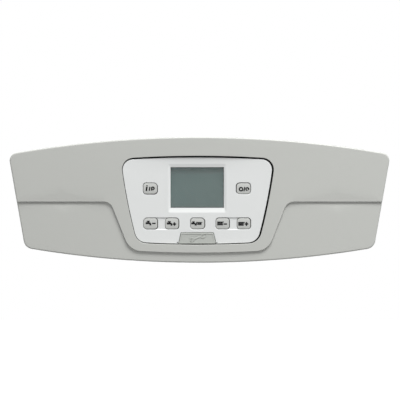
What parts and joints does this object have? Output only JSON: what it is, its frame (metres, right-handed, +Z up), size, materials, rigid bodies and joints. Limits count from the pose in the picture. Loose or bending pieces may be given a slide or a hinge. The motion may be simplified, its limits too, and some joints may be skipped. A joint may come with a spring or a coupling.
{
  "type": "boiler control panel",
  "caption": "Bowed front control panel of a condensing boiler, with display, buttons, hinged service flap and control box.",
  "frame": {"origin": "middle of the four casing screws, in the plane of the panel's rear rim", "axes": "+X to the viewer's right, +Z up, the front faces -Y"},
  "size_m": [0.4206, 0.0754, 0.139],
  "materials": {
    "fascia": "fine satin grain, warm light grey",
    "keypad_seal": "matt black foam rubber",
    "keypad_panel": "satin white moulding",
    "steel_screws": "zinc plated steel",
    "display_window": "clear polished window",
    "display_cell": "grey-green unlit liquid crystal",
    "light_guide": "clear acrylic",
    "backlight_leds": "white lamp bodies",
    "contact_strips": "pink elastic contact strip",
    "display_frame": "white moulding",
    "circuit_board": "green solder mask",
    "black_parts": "black moulded packages",
    "buttons": "satin grey moulding with dark printed signs",
    "plungers": "red moulding",
    "service_flap": "fine satin grain, warm light grey",
    "ribbon_cable": "grey flat cable",
    "control_box": "dark grey moulding with a fine grain",
    "transformer_core": "varnished steel laminations",
    "transformer_coil": "yellow tape",
    "relays": "blue moulded covers",
    "capacitors": "dark blue sleeves",
    "fuse_holders": "cream moulding",
    "fuses": "clear glass tube",
    "filter_choke": "enamelled copper",
    "heat_sink": "extruded aluminium",
    "board_headers": "off-white moulding",
    "mains_terminals": "light grey moulding",
    "sensor_terminals": "green moulding",
    "earth_brass": "plain brass",
    "cable_grommets": "black rubber",
    "cord_clamp": "white moulding"
  },
  "bodies": {
    "housing": {"fascia": "fascia", "keypad_seal": "keypad_seal", "keypad_panel": "keypad_panel", "keypad_screws": "steel_screws", "display_window": "display_window", "display_cell": "display_cell", "light_guide": "light_guide", "backlight_leds": "backlight_leds", "contact_strips": "contact_strips", "display_frame": "display_frame", "display_board": "circuit_board", "display_chips": "black_parts", "display_screws": "steel_screws", "switch_bodies": "black_parts", "service_socket": "black_parts", "ribbon_sockets": "black_parts", "ribbon_cable": "ribbon_cable", "control_box": "control_box", "box_screws": "steel_screws", "main_board": "circuit_board", "main_board_screws": "steel_screws", "transformer_core": "transformer_core", "transformer_coil": "transformer_coil", "relays": "relays", "capacitors": "capacitors", "fuse_holders": "fuse_holders", "fuses": "fuses", "filter_choke": "filter_choke", "heat_sink": "heat_sink", "power_switches": "black_parts", "main_chips": "black_parts", "board_headers": "board_headers", "mains_terminals": "mains_terminals", "sensor_terminals": "sensor_terminals", "terminal_screws": "steel_screws", "earth_strip": "earth_brass", "earth_screws": "earth_brass", "cable_grommets": "cable_grommets", "cord_clamp": "cord_clamp", "clamp_screws": "steel_screws", "terminal_cover": "control_box", "cover_screws": "steel_screws"},
    "flap": {"service_flap": "service_flap"},
    "info_key": {"button_info": "buttons", "plunger_info": "plungers"},
    "reset_key": {"button_reset": "buttons", "plunger_reset": "plungers"},
    "water_minus_key": {"button_water_minus": "buttons", "plunger_water_minus": "plungers"},
    "water_plus_key": {"button_water_plus": "buttons", "plunger_water_plus": "plungers"},
    "mode_key": {"button_mode": "buttons", "plunger_mode": "plungers"},
    "heat_minus_key": {"button_heat_minus": "buttons", "plunger_heat_minus": "plungers"},
    "heat_plus_key": {"button_heat_plus": "buttons", "plunger_heat_plus": "plungers"}
  },
  "joints": [
    {"name": "info_press", "type": "slide", "parent": "housing", "child": "info_key", "axis": [0, 1, 0], "range_m": [0, 0.0008], "stiffness_N_per_m": 2500},
    {"name": "reset_press", "type": "slide", "parent": "housing", "child": "reset_key", "axis": [0, 1, 0], "range_m": [0, 0.0008], "stiffness_N_per_m": 2500},
    {"name": "water_minus_press", "type": "slide", "parent": "housing", "child": "water_minus_key", "axis": [0, 1, 0], "range_m": [0, 0.0008], "stiffness_N_per_m": 2500},
    {"name": "water_plus_press", "type": "slide", "parent": "housing", "child": "water_plus_key", "axis": [0, 1, 0], "range_m": [0, 0.0008], "stiffness_N_per_m": 2500},
    {"name": "mode_press", "type": "slide", "parent": "housing", "child": "mode_key", "axis": [0, 1, 0], "range_m": [0, 0.0008], "stiffness_N_per_m": 2500},
    {"name": "heat_minus_press", "type": "slide", "parent": "housing", "child": "heat_minus_key", "axis": [0, 1, 0], "range_m": [0, 0.0008], "stiffness_N_per_m": 2500},
    {"name": "heat_plus_press", "type": "slide", "parent": "housing", "child": "heat_plus_key", "axis": [0, 1, 0], "range_m": [0, 0.0008], "stiffness_N_per_m": 2500},
    {"name": "flap_hinge", "type": "hinge", "parent": "housing", "child": "flap", "pos_m": [-0.0025, -0.0219, -0.0467], "axis": [1, 0, 0], "range_deg": [0, 90]}
  ]
}
